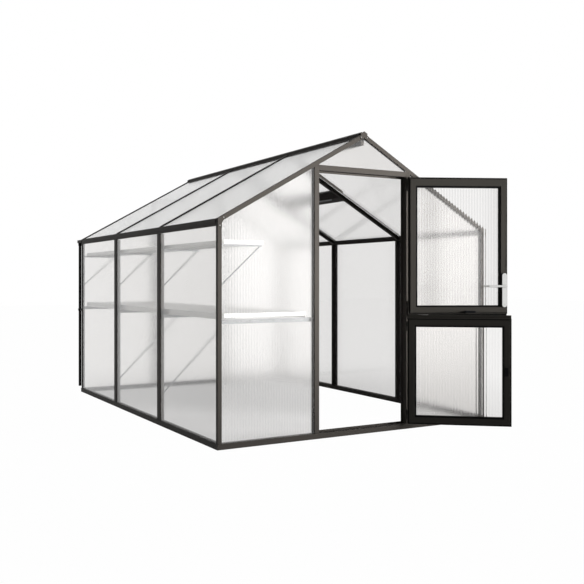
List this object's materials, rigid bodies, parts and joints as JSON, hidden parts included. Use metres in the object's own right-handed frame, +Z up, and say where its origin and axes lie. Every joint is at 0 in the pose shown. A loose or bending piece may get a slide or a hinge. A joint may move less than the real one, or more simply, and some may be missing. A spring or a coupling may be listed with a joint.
{
  "type": "greenhouse",
  "caption": "Gable greenhouse of dark aluminium bars and ribbed twin-wall sheets, with an outward stable door, wall staging, a roof vent and eave gutters with downpipes.",
  "frame": {"origin": "on the ground at the middle of the door sill, in the plane of the front posts' outer faces", "axes": "+X to the right when facing the door from outside, +Y from the door to the back wall, +Z up"},
  "size_m": [2.208, 3.6765, 2.0704],
  "materials": {
    "frame_paint": "powder coat, satin",
    "leaf_paint": "powder coat, satin",
    "sheet": "milky, ribbed twin-wall",
    "shelf_metal": "mill finish",
    "stay_metal": "satin",
    "handle_metal": "brushed",
    "pipe_plastic": "matt black"
  },
  "bodies": {
    "greenhouse": {"back_sheets": "sheet", "back_studs": "frame_paint", "back_tie": "frame_paint", "base_rails_side": "frame_paint", "base_sill_back": "frame_paint", "base_sill_front": "frame_paint", "corner_plates": "frame_paint", "corner_posts": "frame_paint", "door_head": "frame_paint", "door_jamb_left": "frame_paint", "door_jamb_right": "frame_paint", "downpipes": "pipe_plastic", "eave_gutters": "frame_paint", "front_sheets": "sheet", "gable_rafters": "frame_paint", "gutter_backs": "frame_paint", "gutter_lips": "frame_paint", "gutter_outlets": "frame_paint", "hinge_pins": "frame_paint", "lower_shelf": "shelf_metal", "pipe_clips": "pipe_plastic", "ridge_beam": "frame_paint", "roof_bars": "frame_paint", "roof_sheets_left": "sheet", "roof_sheets_right": "sheet", "shelf_arms": "shelf_metal", "shelf_struts": "shelf_metal", "side_posts": "frame_paint", "upper_shelf": "shelf_metal", "vent_rails": "frame_paint", "vent_sheet": "sheet", "vent_sill": "frame_paint", "vent_stay": "stay_metal", "vent_stiles": "frame_paint", "wall_sheets_left": "sheet", "wall_sheets_right": "sheet"},
    "upper_leaf": {"upper_leaf_stiles": "leaf_paint", "upper_leaf_rails": "leaf_paint", "upper_leaf_sheet": "sheet", "upper_leaf_hinges": "leaf_paint", "handle_plates": "handle_metal", "coupling_bolt": "pipe_plastic"},
    "lever": {"lever_handle": "handle_metal"},
    "lower_leaf": {"lower_leaf_stiles": "leaf_paint", "lower_leaf_rails": "leaf_paint", "lower_leaf_sheet": "sheet", "lower_leaf_hinges": "leaf_paint", "lower_leaf_latch": "pipe_plastic"}
  },
  "joints": [
    {"name": "upper_leaf_swing", "type": "hinge", "parent": "greenhouse", "child": "upper_leaf", "pos_m": [0.36, -0.009, 0], "axis": [0, 0, 1], "range_deg": [-154.5, 15.5]},
    {"name": "lower_leaf_swing", "type": "hinge", "parent": "greenhouse", "child": "lower_leaf", "pos_m": [0.36, -0.009, 0], "axis": [0, 0, 1], "range_deg": [-140.5, 29.5]},
    {"name": "lever_turn", "type": "hinge", "parent": "upper_leaf", "child": "lever", "pos_m": [0.97116, -0.33042, 1.008], "axis": [-0.4305, -0.9026, 0], "range_deg": [0, 40], "stiffness_Nm_per_rad": 1.5, "springref_deg": -20.05}
  ]
}
